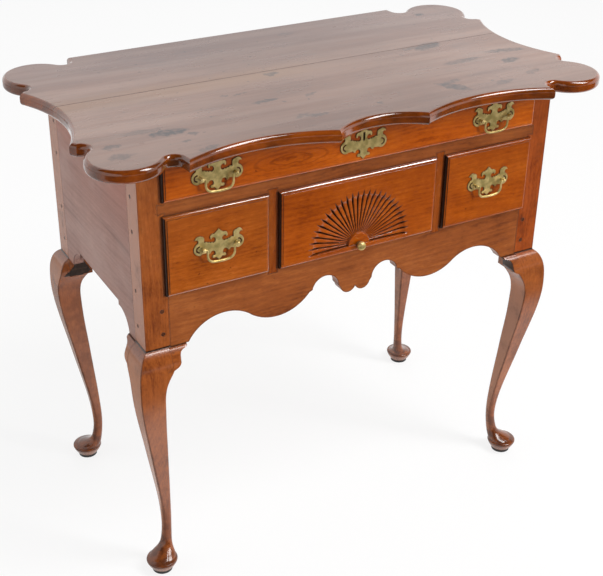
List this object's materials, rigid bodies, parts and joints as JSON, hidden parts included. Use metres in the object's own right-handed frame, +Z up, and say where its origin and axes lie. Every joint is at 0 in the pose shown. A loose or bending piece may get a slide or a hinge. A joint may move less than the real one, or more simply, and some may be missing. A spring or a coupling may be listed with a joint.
{
  "type": "lowboy",
  "caption": "Dressing table with a scalloped top on cabriole legs, a wide drawer over smaller lipped drawers, a carved fan and brass bail pulls.",
  "frame": {"origin": "on the floor, under the middle of the top", "axes": "+X along the width to the right as seen from the front, +Y from the front to the back, +Z up"},
  "size_m": [0.958, 0.536, 0.834],
  "materials": {
    "cherry": "worn shellac, reddish cherry",
    "cherry_top": "worn shellac with ink stains and scratches, reddish cherry",
    "cherry_drawer": "polished shellac, reddish cherry",
    "pine": "bare aged pine",
    "brass": "old cast brass, edges rubbed bright",
    "iron": "dark forged iron",
    "glide": "black, matt"
  },
  "bodies": {
    "case": {"top_board_front": "cherry_top", "top_board_rear": "cherry_top", "top_pins": "cherry_top", "leg_front_left": "cherry", "leg_front_right": "cherry", "leg_rear_left": "cherry", "leg_rear_right": "cherry", "foot_glides": "glide", "knee_blocks_front": "cherry", "knee_blocks_side": "cherry", "joint_pegs": "cherry", "side_panel_left": "cherry", "side_panel_right": "cherry", "back_panel": "pine", "front_apron": "cherry", "drawer_rail": "cherry", "top_rail": "cherry", "divider_left": "cherry", "divider_right": "cherry", "upper_runners": "pine", "lower_runners": "pine", "divider_runners": "pine"},
    "upper_drawer": {"upper_drawer_front": "cherry_drawer", "upper_drawer_side_left": "pine", "upper_drawer_side_right": "pine", "upper_drawer_back": "pine", "upper_drawer_bottom": "pine", "pull_plate_upper_left": "brass", "pull_plate_upper_right": "brass", "upper_drawer_posts": "brass", "escutcheon": "brass", "lock_case": "iron"},
    "left_drawer": {"left_drawer_front": "cherry_drawer", "left_drawer_side_left": "pine", "left_drawer_side_right": "pine", "left_drawer_back": "pine", "left_drawer_bottom": "pine", "pull_plate_left": "brass", "left_drawer_posts": "brass"},
    "fan_drawer": {"fan_drawer_front": "cherry_drawer", "fan_drawer_side_left": "pine", "fan_drawer_side_right": "pine", "fan_drawer_back": "pine", "fan_drawer_bottom": "pine", "fan_drawer_knob": "brass"},
    "right_drawer": {"right_drawer_front": "cherry_drawer", "right_drawer_side_left": "pine", "right_drawer_side_right": "pine", "right_drawer_back": "pine", "right_drawer_bottom": "pine", "pull_plate_right": "brass", "right_drawer_posts": "brass"},
    "bail_upper_left": {"bail_upper_left": "brass"},
    "bail_upper_right": {"bail_upper_right": "brass"},
    "bail_left": {"bail_left": "brass"},
    "bail_right": {"bail_right": "brass"},
    "lock_bolt": {"lock_bolt": "iron"}
  },
  "joints": [
    {"name": "upper_drawer_slide", "type": "slide", "parent": "case", "child": "upper_drawer", "axis": [0, -1, 0], "range_m": [0, 0.28]},
    {"name": "left_drawer_slide", "type": "slide", "parent": "case", "child": "left_drawer", "axis": [0, -1, 0], "range_m": [0, 0.28]},
    {"name": "fan_drawer_slide", "type": "slide", "parent": "case", "child": "fan_drawer", "axis": [0, -1, 0], "range_m": [0, 0.28]},
    {"name": "right_drawer_slide", "type": "slide", "parent": "case", "child": "right_drawer", "axis": [0, -1, 0], "range_m": [0, 0.28]},
    {"name": "bail_upper_left_swing", "type": "hinge", "parent": "upper_drawer", "child": "bail_upper_left", "pos_m": [-0.26775, -0.2106, 0.77249], "axis": [-1, 0, 0], "range_deg": [-12, 165]},
    {"name": "bail_upper_right_swing", "type": "hinge", "parent": "upper_drawer", "child": "bail_upper_right", "pos_m": [0.26775, -0.2106, 0.77249], "axis": [-1, 0, 0], "range_deg": [-12, 165]},
    {"name": "bail_left_swing", "type": "hinge", "parent": "left_drawer", "child": "bail_left", "pos_m": [-0.26775, -0.2106, 0.64896], "axis": [-1, 0, 0], "range_deg": [-12, 165]},
    {"name": "bail_right_swing", "type": "hinge", "parent": "right_drawer", "child": "bail_right", "pos_m": [0.26775, -0.2106, 0.64896], "axis": [-1, 0, 0], "range_deg": [-12, 165]},
    {"name": "lock_bolt_throw", "type": "slide", "parent": "upper_drawer", "child": "lock_bolt", "axis": [0, 0, 1], "range_m": [0, 0.012]}
  ]
}
